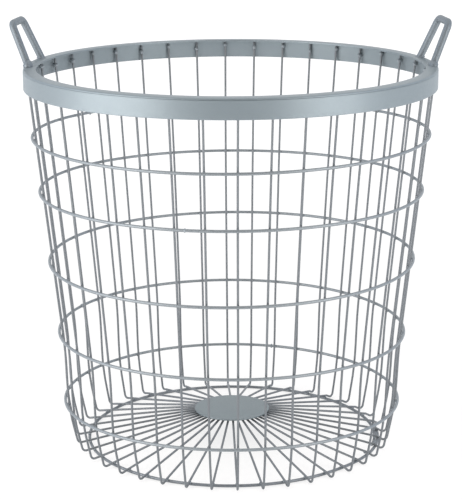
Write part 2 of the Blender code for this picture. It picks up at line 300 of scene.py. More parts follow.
@dataclass(frozen=True)
class BasketForm:
    """The cone, rim and base lines that every wire follows.

    The drift fields say how the uprights' spacing swells and shrinks round the rim, as shares of a
    space. The foot fields say how far the bends dip under the spokes' line, and the bow fields how far
    the lower wall bulges at the left and right, and between which heights.
    """

    body_height: float
    rim_radius: float
    sheet: float = 0.0018
    gap: float = 0.0003
    upright_count: int = 40
    upright_wire: float = 0.0023
    hoop_wire: float = 0.0031
    taper: float = 0.1055
    spoke_rise: float = 0.183
    foot_dip: float = 0.0017
    foot_dip_drift: float = 0.0009
    ring_inset: float = 0.013
    start_share: float = 0.21
    drift_share: float = 0.055
    drift_turn: float = math.radians(190.0)
    bow_left: float = 0.0036
    bow_right: float = 0.0028
    bow_foot: float = 0.004
    bow_top: float = 0.118
    bow_skew: float = 0.7

    @classmethod
    def from_frame(cls) -> "BasketForm":
        """Take the rim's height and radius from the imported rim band."""
        low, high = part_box("rim_band")
        return cls(body_height=high.z, rim_radius=(high.x - low.x) / 2)

    @property
    def upright_radius(self) -> float:
        """Radius of an upright's wire."""
        return self.upright_wire / 2

    @property
    def wall_angle(self) -> float:
        """Lean of the wall from upright."""
        return math.atan(self.taper)

    @property
    def crossing(self) -> float:
        """Distance between the centre lines of an upright and a hoop where they cross."""
        return (self.upright_wire + self.hoop_wire) / 2 + self.gap

    @property
    def lap_offset(self) -> float:
        """Distance between the two strands of the base ring's lap."""
        return self.hoop_wire + self.gap

    @property
    def lap_drop(self) -> float:
        """How far the outer strand of the lap lies below the ring."""
        return self.lap_offset * self.spoke_rise

    @property
    def ring_height(self) -> float:
        """Height of the base ring's centre line."""
        return self.hoop_wire / 2 + self.lap_drop

    @property
    def ring_radius(self) -> float:
        """Radius of the base ring's centre line."""
        return self.wall_radius(0.0) - self.ring_inset

    @property
    def band_inside(self) -> float:
        """Radius of the band's inner face."""
        return self.rim_radius - self.sheet

    @property
    def flange_underside(self) -> float:
        """Height of the flange's underside."""
        return self.body_height - self.sheet

    def upright_turn(self, number: int) -> float:
        """Return the angle of an upright, which drifts a little from an even spacing.

        Args:
            number: Which upright, from 0.

        Returns:
            Its angle round the axis.
        """
        even_turn = number * math.tau / self.upright_count
        drift = self.drift_share * math.cos(even_turn - self.drift_turn)
        return even_turn + (self.start_share + drift) * math.tau / self.upright_count

    def upright_top(self) -> Vector:
        """Return the top of an upright's centre line, a gap away from the band and the flange.

        Returns:
            The point, in the XZ plane.
        """
        radius = self.band_inside - self.gap - self.upright_radius / math.cos(self.wall_angle)
        height = self.flange_underside - self.gap - self.upright_radius * math.sin(self.wall_angle)
        return Vector((radius, 0.0, height))

    def wall_radius(self, height: float) -> float:
        """Return the radius of the uprights' centre lines at a height."""
        top = self.upright_top()
        return top.x - self.taper * (top.z - height)

    def bow(self, height: float, turn: float) -> float:
        """Return how far the wall bulges out over its straight line, low down near the last hoop.

        Args:
            height: The height on the wall.
            turn: The angle round the axis.

        Returns:
            The distance outwards.
        """
        share = (height - self.bow_foot) / (self.bow_top - self.bow_foot)
        share = min(1.0, max(0.0, share))
        middle = (self.bow_left + self.bow_right) / 2
        lean = (self.bow_right - self.bow_left) / 2
        return (middle + lean * math.cos(turn)) * math.sin(math.pi * share ** self.bow_skew) ** 2

    def spoke_height(self, radius: float) -> float:
        """Return the height of the spokes' centre lines at a radius."""
        over_ring = self.ring_height + self.crossing / math.cos(math.atan(self.spoke_rise))
        return over_ring + self.spoke_rise * (self.ring_radius - radius)

    def foot_corner(self, dip: float) -> Vector:
        """Return where the wall line meets a spoke line that is lowered by the dip.

        Args:
            dip: How far the spoke line is lowered.

        Returns:
            The point, in the XZ plane.
        """
        spoke_at_axis = self.spoke_height(0.0) - dip
        lift = spoke_at_axis - self.spoke_rise * self.wall_radius(0.0)
        height = lift / (1 + self.spoke_rise * self.taper)
        return Vector((self.wall_radius(height), 0.0, height))

    def hoop_rise(self, line: HoopLine, turn: float) -> float:
        """Return how far a hoop stands above its mean height at an angle.

        Args:
            line: The hoop's height law.
            turn: The angle round the axis.

        Returns:
            The distance upwards.
        """
        share = line.right_rise * math.cos(turn) + line.back_rise * math.sin(turn)
        share += line.sides_rise * math.cos(2 * turn)
        return share * self.wall_radius(self.body_height * line.height_share)

    def hoop_height(self, line: HoopLine, turn: float) -> float:
        """Return the height of a hoop's centre line at an angle."""
        return self.body_height * line.height_share + self.hoop_rise(line, turn)

    def hoop_radius(self, height: float) -> float:
        """Return the radius of a hoop's centre line where it passes a height."""
        return self.wall_radius(height) + self.crossing / math.cos(self.wall_angle)


def outwards(turn: float) -> Vector:
    """Return the level direction away from the basket's axis at an angle."""
    return Vector((math.cos(turn), math.sin(turn), 0.0))


def start_by_hand() -> None:
    """Leave edit mode, deselect everything and go back to picking single corners."""
    if bpy.context.mode != "OBJECT":
        bpy.ops.object.mode_set(mode="OBJECT")
    bpy.ops.object.select_all(action="DESELECT")
    bpy.context.tool_settings.mesh_select_mode = (True, False, False)


def open_up(name: str) -> Piece:
    """Take up the primitive that was just added, all of it selected in edit mode.

    Args:
        name: The piece's name.

    Returns:
        The primitive, with its place and turn put into its mesh.
    """
    piece = bpy.context.active_object
    piece.name = piece.data.name = name
    bpy.ops.object.transform_apply(location=True, rotation=True, scale=True)
    bpy.ops.object.mode_set(mode="EDIT")
    bpy.ops.mesh.select_all(action="SELECT")
    return piece


def take_up(piece: Piece) -> None:
    """Make a piece the only selected one.

    Args:
        piece: The piece.
    """
    start_by_hand()
    piece.select_set(True)
    bpy.context.view_layer.objects.active = piece


def pick(piece: Piece, kind: Element, wanted: Callable[[Any], bool]) -> None:
    """Select the edges or faces of a piece that pass a test.

    Args:
        piece: The piece, in edit mode.
        kind: Whether edges or faces are picked.
        wanted: The test of one edge or face.
    """
    bpy.ops.mesh.select_mode(type=kind.value)
    bpy.ops.mesh.select_all(action="DESELECT")
    shape = bmesh.from_edit_mesh(piece.data)
    for item in shape.edges if kind is Element.EDGE else shape.faces:
        if wanted(item):
            item.select_set(True)
    bmesh.update_edit_mesh(piece.data)


def close_up(piece: Piece, smooth_angle: float = math.radians(50.0)) -> Piece:
    """Turn a finished mesh's faces outwards, leave edit mode and shade it.

    Args:
        piece: The object that is in edit mode.
        smooth_angle: Edges sharper than this stay crisp.

    Returns:
        The same object.
    """
    bpy.ops.mesh.select_mode(type="FACE")
    bpy.ops.mesh.select_all(action="SELECT")
    bpy.ops.mesh.normals_make_consistent(inside=False)
    take_up(piece)
    bpy.ops.object.shade_smooth_by_angle(angle=smooth_angle)
    return piece


def join_up(pieces: list[Piece], name: str) -> Piece:
    """Join pieces into the first of them and name it.

    Args:
        pieces: One piece or more.
        name: The joined piece's name.

    Returns:
        The joined piece.
    """
    take_up(pieces[0])
    for piece in pieces[1:]:
        piece.select_set(True)
    if len(pieces) > 1:
        bpy.ops.object.join()
    pieces[0].name = pieces[0].data.name = name
    return pieces[0]


def copy_of(piece: Piece, name: str) -> Piece:
    """Copy a piece together with its mesh.

    Args:
        piece: The model.
        name: The copy's name.

    Returns:
        The copy.
    """
    twin = piece.copy()
    twin.data = piece.data.copy()
    twin.name = twin.data.name = name
    bpy.context.scene.collection.objects.link(twin)
    return twin


def discard(piece: Piece) -> None:
    """Remove a model that was only there to be copied.

    Args:
        piece: The model.
    """
    mesh = piece.data
    bpy.data.objects.remove(piece, do_unlink=True)
    bpy.data.meshes.remove(mesh)


def dress(piece: Piece, paint: Material, slot: PaintSlot, *nodes: str) -> None:
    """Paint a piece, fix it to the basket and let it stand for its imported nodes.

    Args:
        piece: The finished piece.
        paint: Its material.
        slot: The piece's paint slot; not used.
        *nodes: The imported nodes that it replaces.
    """
    piece.data.materials.clear()
    piece.data.materials.append(paint)
    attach(piece, BODY)
    if nodes:
        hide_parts(*nodes)
    log.info("%s: %d faces", piece.name, len(piece.data.polygons))


@dataclass
class WireRun:
    """A round wire grown in edit mode from a disc, by extruding and spinning its end face.

    Attributes:
        name: The piece's name.
        diameter: The wire's diameter.
        sides: How many sides its round section has.
        end_round: Radius of the rounded edge at its cut ends.
        end_steps: How many steps that rounding has.
        piece: The object that is being grown.
    """

    name: str
    diameter: float
    sides: int = 16
    end_round: float = 0.0003
    end_steps: int = 2
    piece: Piece | None = field(default=None, init=False)

    def start(self, place: Vector, facing: Vector) -> None:
        """Lay the first disc of the wire.

        Args:
            place: The centre of the wire's end.
            facing: The direction that the end faces.
        """
        start_by_hand()
        bpy.ops.mesh.primitive_circle_add(
            vertices=self.sides,
            radius=self.diameter / 2,
            fill_type="NGON",
            location=place,
            rotation=facing.to_track_quat("Z", "Y").to_euler(),
        )
        self.piece = open_up(self.name)
        bpy.ops.mesh.select_mode(type="FACE")
        bpy.ops.mesh.select_all(action="SELECT")

    def run(self, reach: Vector, steps: int = 1) -> None:
        """Extrude the end face straight on, in equal steps."""
        for _ in range(steps):
            bpy.ops.mesh.extrude_region_move(TRANSFORM_OT_translate={"value": reach / steps})

    def bend(self, centre: Vector, axis: Vector, angle: float, steps: int) -> None:
        """Spin the end face round a bend; the tool counts its angle the other way round."""
        bpy.ops.mesh.spin(steps=steps, angle=-angle, center=centre, axis=axis)

    def finish(self) -> Piece:
        """Round the cut ends and close the wire.

        Returns:
            The finished piece.
        """
        pick(self.piece, Element.FACE, lambda face: len(face.verts) == self.sides)
        bpy.ops.mesh.region_to_loop()
        bpy.ops.mesh.bevel(offset=self.end_round, segments=self.end_steps, affect="EDGES")
        return close_up(self.piece)


@dataclass
class WeldBeads:
    """Small weld beads, modelled once as a four-cornered cushion and copied to every joint.

    Attributes:
        paint: The beads' material.
        seed: Start of the random draws.
        unevenness: The most that a bead's size strays from its nominal one, as a share.
        core: Width of the cube that the cushion is puffed up from, as a share of the cushion's.
        puff: How far its cut faces are puffed up.
        smooth_angle: Edges sharper than this stay crisp.
        dice: Where the uneven sizes come from.
        model: The cushion, one unit across.
    """

    paint: Material
    seed: int = 77
    unevenness: float = 0.22
    core: float = 0.8
    puff: float = 0.9
    smooth_angle: float = math.radians(80.0)
    dice: random.Random = field(init=False)
    model: Piece | None = field(default=None, init=False)

    def __post_init__(self) -> None:
        """Start the random draws."""
        self.dice = random.Random(self.seed)

    def make_model(self) -> None:
        """Model the cushion: a cube whose faces are cut and puffed up."""
        start_by_hand()
        bpy.ops.mesh.primitive_cube_add(size=self.core, location=ORIGIN)
        self.model = open_up("weld_bead_model")
        bpy.ops.mesh.subdivide(number_cuts=1, smoothness=self.puff)
        close_up(self.model, self.smooth_angle)

    def lay(
        self, name: str, spots: list[Spot], slot: PaintSlot, paint: Material | None = None
    ) -> Piece:
        """Lay a bead at every spot and join them into one piece.

        Args:
            name: The piece's name.
            spots: For each bead its place and turn, and its size along its own axes.
            slot: The paint slot of the beads.
            paint: Their material, where it isn't the usual one.

        Returns:
            The finished piece.
        """
        beads = []
        for number, (place, size) in enumerate(spots):
            bead = copy_of(self.model, f"{name}_{number}")
            stray = [1 + self.dice.uniform(-self.unevenness, self.unevenness) for _ in range(3)]
            scale = Matrix.Diagonal((size.x * stray[0], size.y * stray[1], size.z * stray[2], 1.0))
            bead.data.transform(place @ scale)
            beads.append(bead)
        piece = join_up(beads, name)
        dress(piece, paint or self.paint, slot)
        return piece


def joint_frame(place: Vector, out: Vector, along: Vector) -> Matrix:
    """Return the place and turn of a weld.

    Args:
        place: The weld's centre.
        out: Its first axis.
        along: A direction that its third axis lies close to.

    Returns:
        A matrix with its X axis outwards and its Z axis along the second direction.
    """
    first = out.normalized()
    second = along.cross(first).normalized()
    third = first.cross(second)
    turn = Matrix((first, second, third)).transposed().to_4x4()
    return Matrix.Translation(place) @ turn


@dataclass
class RimBand:
    """The strip hoop with its flange turned in, and the tacks that hold the uprights in it."""

    form: BasketForm
    segments: int = 288
    edge_radius: float = 0.0004
    edge_steps: int = 2
    edge_reach: float = 10e-6
    smooth_angle: float = math.radians(35.0)
    # Points of the strip's section: how far in from the rim's widest circle, and how high over the
    # flange's top. The second and third are there only to keep the tall outer face evenly shaded.
    section: tuple[tuple[float, float], ...] = (
        (0.0000, -0.0201), (0.0000, -0.0192), (0.0000, -0.0030), (0.0000, -0.0023),  # outer face
        (0.0002, -0.0022), (0.0004, -0.0020), (0.0002, -0.0018), (0.0001, -0.0017),  # fine groove
        (0.0001, -0.0014), (0.0003, -0.0009), (0.0007, -0.0004), (0.0012, -0.0001),  # outer corner
        (0.0020, 0.0000), (0.0130, 0.0000), (0.0130, -0.0018), (0.0026, -0.0018),  # flange
        (0.0020, -0.0021), (0.0018, -0.0028), (0.0018, -0.0201),  # inner corner and face
    )
    tack_depths: tuple[float, float] = (0.0040, 0.0100)
    tack_overlap: float = 0.0004
    tack_stray: float = 0.0006
    tack_width: float = 0.0027
    tack_height: float = 0.0036
    second_tack_chance: float = 0.4
    second_tack_out: float = 0.0002
    second_tack_depth: float = 0.0007
    second_tack_size: tuple[float, float, float] = (0.0030, 0.0028, 0.0018)

    def build(self, paint: Material) -> Piece:
        """Roll the strip: extrude a circle along the section, join its ends and round the cut edges.

        Args:
            paint: The band's material.

        Returns:
            The finished strip.
        """
        outer = self.form.rim_radius
        first_inset, first_level = self.section[0]
        start_by_hand()
        bpy.ops.mesh.primitive_circle_add(
            vertices=self.segments,
            radius=outer - first_inset,
            fill_type="NOTHING",
            location=(0.0, 0.0, self.form.body_height + first_level),
        )
        piece = open_up("rim_band_strip")
        for (inset, level), (next_inset, next_level) in zip(self.section, self.section[1:]):
            lift = UP * (next_level - level)
            bpy.ops.mesh.extrude_region_move(TRANSFORM_OT_translate={"value": lift})
            share = (outer - next_inset) / (outer - inset)
            bpy.ops.transform.resize(value=(share, share, 1.0), center_override=ORIGIN)
        bpy.ops.mesh.select_mode(type="EDGE")
        bpy.ops.mesh.select_all(action="DESELECT")
        bpy.ops.mesh.select_non_manifold(extend=False)
        bpy.ops.mesh.bridge_edge_loops()
        pick(piece, Element.EDGE, self.is_cut_edge)
        bpy.ops.mesh.bevel(offset=self.edge_radius, segments=self.edge_steps, affect="EDGES")
        close_up(piece, self.smooth_angle)
        dress(piece, paint, PaintSlot.RIM, "rim_band")
        return piece

    def is_cut_edge(self, edge: bmesh.types.BMEdge) -> bool:
        """Tell whether an edge runs round the strip's cut lower end or round the flange's lip.

        Args:
            edge: An edge of the rolled strip.

        Returns:
            True where it does.
        """
        first, second = edge.verts[0].co, edge.verts[1].co
        radius = first.xy.length
        level = abs(first.z - second.z) < SAME_PLACE
        same_ring = abs(radius - second.xy.length) < SAME_PLACE
        bottom = self.form.body_height + self.section[0][1]
        lip = self.form.rim_radius - max(inset for inset, _ in self.section)
        on_cut = min(abs(first.z - bottom), abs(radius - lip)) < self.edge_reach
        return level and same_ring and on_cut

    def tacks(self, beads: WeldBeads) -> Piece:
        """Lay a tack between each upright and the band, some high and some low, some twice.

        Args:
            beads: What lays the beads.

        Returns:
            The finished tacks.
        """
        form = self.form
        spots = []
        for number in range(form.upright_count):
            out = outwards(form.upright_turn(number))
            across = UP.cross(out)
            height = form.flange_underside - beads.dice.uniform(*self.tack_depths)
            wire_radius = form.wall_radius(height)
            reach = 2 * (form.band_inside - wire_radius) + self.tack_overlap
            side = beads.dice.uniform(-self.tack_stray, self.tack_stray)
            place = out * wire_radius + across * side + UP * height
            size = Vector((reach, self.tack_width, self.tack_height))
            spots.append((joint_frame(place, out, UP), size))
            if beads.dice.random() < self.second_tack_chance:
                high = out * (wire_radius + self.second_tack_out) + across * side / 2
                high += UP * (form.flange_underside - self.second_tack_depth)
                spots.append((joint_frame(high, out, UP), Vector(self.second_tack_size)))
        return beads.lay("rim_tacks", spots, PaintSlot.RIM)


@dataclass
class Uprights:
    """The forty bent wires that make the wall and the spokes.

    Each wire's wall sways sideways in one bow and one wave, which are drawn at random.
    """

    form: BasketForm
    bend_radius: float = 0.004
    bend_steps: int = 8
    wall_steps: int = 32
    plate_reach: float = 0.0285
    sway: float = 0.0007
    wave_share: float = 0.4
    seed: int = 4021
    sways: list[tuple[float, float]] = field(default_factory=list, init=False)

    def model(self) -> Piece:
        """Bend one wire in the XZ plane: down the wall, round the foot and up to the plate.

        Returns:
            The wire.
        """
        form = self.form
        top = form.upright_top()
        foot = form.foot_corner(form.foot_dip)
        over_lap_radius = form.ring_radius + form.lap_offset
        over_lap = Vector((over_lap_radius, 0.0, form.spoke_height(over_lap_radius)))
        inner_end = Vector((self.plate_reach, 0.0, form.spoke_height(self.plate_reach)))
        bend = Corner.between(top, foot, over_lap, self.bend_radius)
        wire = WireRun("upright_model", form.upright_wire)
        wire.start(top, top - foot)
        wire.run(bend.start - top, self.wall_steps)
        wire.bend(bend.centre, bend.axis, bend.sweep, self.bend_steps)
        wire.run(over_lap - bend.end)
        wire.run(inner_end - over_lap)
        return wire.finish()

    def wall_sway(self, number: int, height: float) -> float:
        """Return how far an upright bows sideways at a height.

        Args:
            number: Which upright, from 0.
            height: The height on the wall.

        Returns:
            The distance, anticlockwise as seen from above.
        """
        share = min(1.0, max(0.0, height / self.form.body_height))
        bow, wave = self.sways[number]
        return bow * math.sin(math.pi * share) + wave * math.sin(math.tau * share)

    def set_foot(self, mesh: bpy.types.Mesh, turn: float) -> None:
        """Push a wire's bend down the wall to its own depth.

        Args:
            mesh: The wire's mesh, still in the XZ plane.
            turn: The angle at which it will stand.
        """
        form = self.form
        drop = form.foot_dip_drift * math.cos(turn) / (1 + form.spoke_rise * form.taper)
        shift = Vector((-form.taper * drop, 0.0, -drop))
        bend_top = form.foot_corner(0.0).z + 2 * self.bend_radius
        bend_inside = form.ring_radius + form.lap_offset + form.upright_wire / 2
        for corner in mesh.vertices:
            if corner.co.z < bend_top and corner.co.x > bend_inside:
                corner.co += shift

    def build(self, paint: Material) -> None:
        """Copy the model to every place, each with its own foot and its own slight bow.

        Args:
            paint: The wires' material.
        """
        model = self.model()
        dice = random.Random(self.seed)
        for number in range(self.form.upright_count):
            name = f"upright_{number + 1:02d}"
            bow = dice.uniform(-self.sway, self.sway)
            wave = dice.uniform(-self.wave_share, self.wave_share) * self.sway
            self.sways.append((bow, wave))
            piece = copy_of(model, f"{name}_wire")
            turn = self.form.upright_turn(number)
            self.set_foot(piece.data, turn)
            for corner in piece.data.vertices:
                if corner.co.x > self.form.wall_radius(0.0) - self.bend_radius:
                    corner.co.y += self.wall_sway(number, corner.co.z)
                    corner.co.x += self.form.bow(corner.co.z, turn)
            piece.data.transform(Matrix.Rotation(turn, 4, "Z"))
            dress(piece, paint, PaintSlot.UPRIGHT, name)
        discard(model)


@dataclass
class Hoops:
    """The five wire rings outside the uprights, each a little out of level."""

    form: BasketForm
    uprights: Uprights
    steps: int = 240
    sides: int = 16
    weld_size: tuple[float, float, float] = (0.0018, 0.0027, 0.0027)
    seam_swell: float = 1.12
    seam_width: float = 0.0016
    lines: tuple[HoopLine, ...] = (
        HoopLine(0.8242, 0.0055, 0.0004, 0.0057, math.radians(140.0)),
        HoopLine(0.6828, 0.0018, 0.0001, 0.0010, math.radians(-102.5)),
        HoopLine(0.4991, 0.0058, 0.0139, 0.0012, math.radians(40.0)),
        HoopLine(0.3054, -0.0049, 0.0015, -0.0031, math.radians(155.0)),
        HoopLine(0.1170, -0.0041, -0.0080, -0.0051, math.radians(75.0)),
    )

    def ring(self, name: str, line: HoopLine) -> Piece:
        """Spin a wire section into a ring and set it on the cone.

        Args:
            name: The piece's name.
            line: The hoop's height law.

        Returns:
            The finished ring.
        """
        middle = self.form.body_height * line.height_share
        start_by_hand()
        bpy.ops.mesh.primitive_circle_add(
            vertices=self.sides,
            radius=self.form.hoop_wire / 2,
            fill_type="NOTHING",
            location=(self.form.hoop_radius(middle), 0.0, middle),
            rotation=(math.pi / 2, 0.0, 0.0),
        )
        piece = open_up(name)
        bpy.ops.mesh.spin(steps=self.steps, angle=math.tau, center=ORIGIN, axis=UP)
        bpy.ops.mesh.select_all(action="SELECT")
        bpy.ops.mesh.remove_doubles(threshold=SAME_PLACE)
        close_up(piece)
        for corner in piece.data.vertices:
            radius = corner.co.xy.length
            turn = math.atan2(corner.co.y, corner.co.x)
            rise = self.form.hoop_rise(line, turn)
            bow = self.form.bow(middle + rise, turn)
            share = (radius + self.form.taper * rise + bow) / radius
            corner.co = Vector((corner.co.x * share, corner.co.y * share, corner.co.z + rise))
        return piece

    def crossings(self, line: HoopLine) -> list[Spot]:
        """Return the spots of a hoop's welds, one at each upright.

        Args:
            line: The hoop's height law.

        Returns:
            The spots.
        """
        form = self.form
        spots = []
        for number in range(form.upright_count):
            turn = form.upright_turn(number)
            height = form.hoop_height(line, turn)
            out = (outwards(turn) - UP * form.taper).normalized()
            touch = form.wall_radius(height) + form.bow(height, turn)
            level = Vector((math.cos(turn) * touch, math.sin(turn) * touch, height))
            place = level + out * (form.upright_radius + form.gap / 2)
            place += UP.cross(outwards(turn)) * self.uprights.wall_sway(number, height)
            spots.append((joint_frame(place, out, UP) @ SLANTWISE, Vector(self.weld_size)))
        return spots

    def seam(self, line: HoopLine) -> Spot:
        """Return the spot of the flash at a hoop's butt joint.

        Args:
            line: The hoop's height law.

        Returns:
            The spot.
        """
        height = self.form.hoop_height(line, line.seam_turn)
        radius = self.form.hoop_radius(height) + self.form.bow(height, line.seam_turn)
        out = outwards(line.seam_turn)
        size = self.form.hoop_wire * self.seam_swell
        return joint_frame(out * radius + UP * height, out, UP), Vector((size, self.seam_width, size))

    def build(self, paint: Material, beads: WeldBeads) -> None:
        """Make the hoops from the top one down, with their welds.

        Args:
            paint: The hoops' material.
            beads: What lays the beads.
        """
        for number, line in enumerate(self.lines, start=1):
            piece = self.ring(f"hoop_{number}_wire", line)
            dress(piece, paint, PaintSlot.HOOP, f"hoop_{number}")
            spots = self.crossings(line) + [self.seam(line)]
            beads.lay(f"hoop_{number}_welds", spots, PaintSlot.HOOP)


@dataclass
class BaseRing:
    """The ring under the spokes, whose ends lie side by side at the right."""

    form: BasketForm
    lap_start: float = math.radians(10.0)
    lap_end: float = math.radians(-14.0)
    lap_ease_end: float = math.radians(-50.0)
    steps: int = 230
    sides: int = 16
    spoke_weld_size: tuple[float, float, float] = (0.0018, 0.0028, 0.0028)
    lap_weld_shares: tuple[float, float, float] = (0.12, 0.5, 0.86)
    lap_weld_size: tuple[float, float, float] = (0.0018, 0.0022, 0.0080)
    lap_weld_lift: float = 0.0002

    def lap_share(self, turn: float) -> float:
        """Return how far the outer end stands off the ring's circle.

        Args:
            turn: The angle round the axis, which falls along the wire.

        Returns:
            The distance as a share of the lap's offset, from 0 to 1.
        """
        if turn > self.lap_end:
            return 1.0
        if turn < self.lap_ease_end:
            return 0.0
        part = (turn - self.lap_ease_end) / (self.lap_end - self.lap_ease_end)
        return (1 - math.cos(math.pi * part)) / 2

    def build(self, paint: Material, beads: WeldBeads) -> None:
        """Coil the wire clockwise for a little over a turn, then ease its first end outwards.

        Args:
            paint: The ring's material.
            beads: What lays the beads.
        """
        sweep = math.tau + self.lap_start - self.lap_end
        first = outwards(self.lap_start)
        middle = UP * self.form.ring_height
        wire = WireRun("base_ring_wire", self.form.hoop_wire, self.sides)
        wire.start(first * self.form.ring_radius + middle, UP.cross(first))
        wire.bend(middle, UP, -sweep, self.steps)
        bpy.ops.object.mode_set(mode="OBJECT")
        self.ease_lap(wire.piece.data, sweep)
        bpy.ops.object.mode_set(mode="EDIT")
        piece = wire.finish()
        dress(piece, paint, PaintSlot.BASE_RING, "base_ring")
        beads.lay("base_ring_welds", self.spoke_welds() + self.lap_welds(), PaintSlot.BASE_RING)

    def ease_lap(self, mesh: bpy.types.Mesh, sweep: float) -> None:
        """Move the sections of the lap outwards and down, section by section.

        Args:
            mesh: The coiled wire, whose corners are numbered in the order they were spun.
            sweep: The angle that the wire turns through.
        """
        for corner in mesh.vertices:
            turn = self.lap_start - sweep * (corner.index // self.sides) / self.steps
            share = self.lap_share(turn)
            corner.co += outwards(turn) * self.form.lap_offset * share
            corner.co.z -= self.form.lap_drop * share

    def spoke_welds(self) -> list[Spot]:
        """Return the spots where the spokes are welded to the ring.

        Returns:
            The spots.
        """
        form = self.form
        spots = []
        tilt = Vector((form.spoke_rise, 0.0, 1.0)).normalized()
        for number in range(form.upright_count):
            spin = Matrix.Rotation(form.upright_turn(number), 3, "Z")
            normal = spin @ tilt
            along = spin @ Vector((1.0, 0.0, -form.spoke_rise))
            ring_top = spin @ Vector((form.ring_radius, 0.0, form.ring_height))
            place = ring_top + normal * (form.hoop_wire / 2 + form.gap / 2)
            turned = joint_frame(place, normal, along) @ SLANTWISE
            spots.append((turned, Vector(self.spoke_weld_size)))
        return spots

    def lap_welds(self) -> list[Spot]:
        """Return the spots of the short welds between the strands of the lap.

        Returns:
            The spots.
        """
        spots = []
        radius = self.form.ring_radius + self.form.lap_offset / 2
        height = self.form.ring_height - self.form.lap_drop / 2
        for share in self.lap_weld_shares:
            out = outwards(self.lap_end + (self.lap_start - self.lap_end) * share)
            place = out * radius + UP * (height + self.lap_weld_lift)
            spots.append((joint_frame(place, out, UP.cross(out)), Vector(self.lap_weld_size)))
        return spots


@dataclass
class CentrePlate:
    """The flat disc over the inner ends of the spokes."""

    form: BasketForm
    segments: int = 128
    edge_radius: float = 0.0004
    edge_steps: int = 3
    smooth_angle: float = math.radians(35.0)
    weld_radius: float = 0.0315
    weld_drop: float = 0.0003
    weld_size: tuple[float, float, float] = (0.0016, 0.0026, 0.0048)

    def build(self, paint: Material, beads: WeldBeads) -> None:
        """Blank the disc, round its edges and weld the spokes under it.

        Args:
            paint: The plate's material.
            beads: What lays the beads.
        """
        low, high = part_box("centre_plate")
        start_by_hand()
        bpy.ops.mesh.primitive_cylinder_add(
            vertices=self.segments,
            radius=(high.x - low.x) / 2,
            depth=high.z - low.z,
            location=(0.0, 0.0, (low.z + high.z) / 2),
        )
        piece = open_up("centre_plate_disc")
        pick(piece, Element.FACE, lambda face: abs(face.normal.z) > 0.5)
        bpy.ops.mesh.region_to_loop()
        bpy.ops.mesh.bevel(offset=self.edge_radius, segments=self.edge_steps, affect="EDGES")
        close_up(piece, self.smooth_angle)
        dress(piece, paint, PaintSlot.PLATE, "centre_plate")
        beads.lay("centre_plate_welds", self.spoke_welds(low.z), PaintSlot.PLATE)

    def spoke_welds(self, underside: float) -> list[Spot]:
        """Return the spots where the spokes are welded to the plate's underside.

        Args:
            underside: The height of the plate's underside.

        Returns:
            The spots.
        """
        spots = []
        for number in range(self.form.upright_count):
            out = outwards(self.form.upright_turn(number))
            place = out * self.weld_radius + UP * (underside - self.weld_drop)
            spots.append((joint_frame(place, UP, out), Vector(self.weld_size)))
        return spots


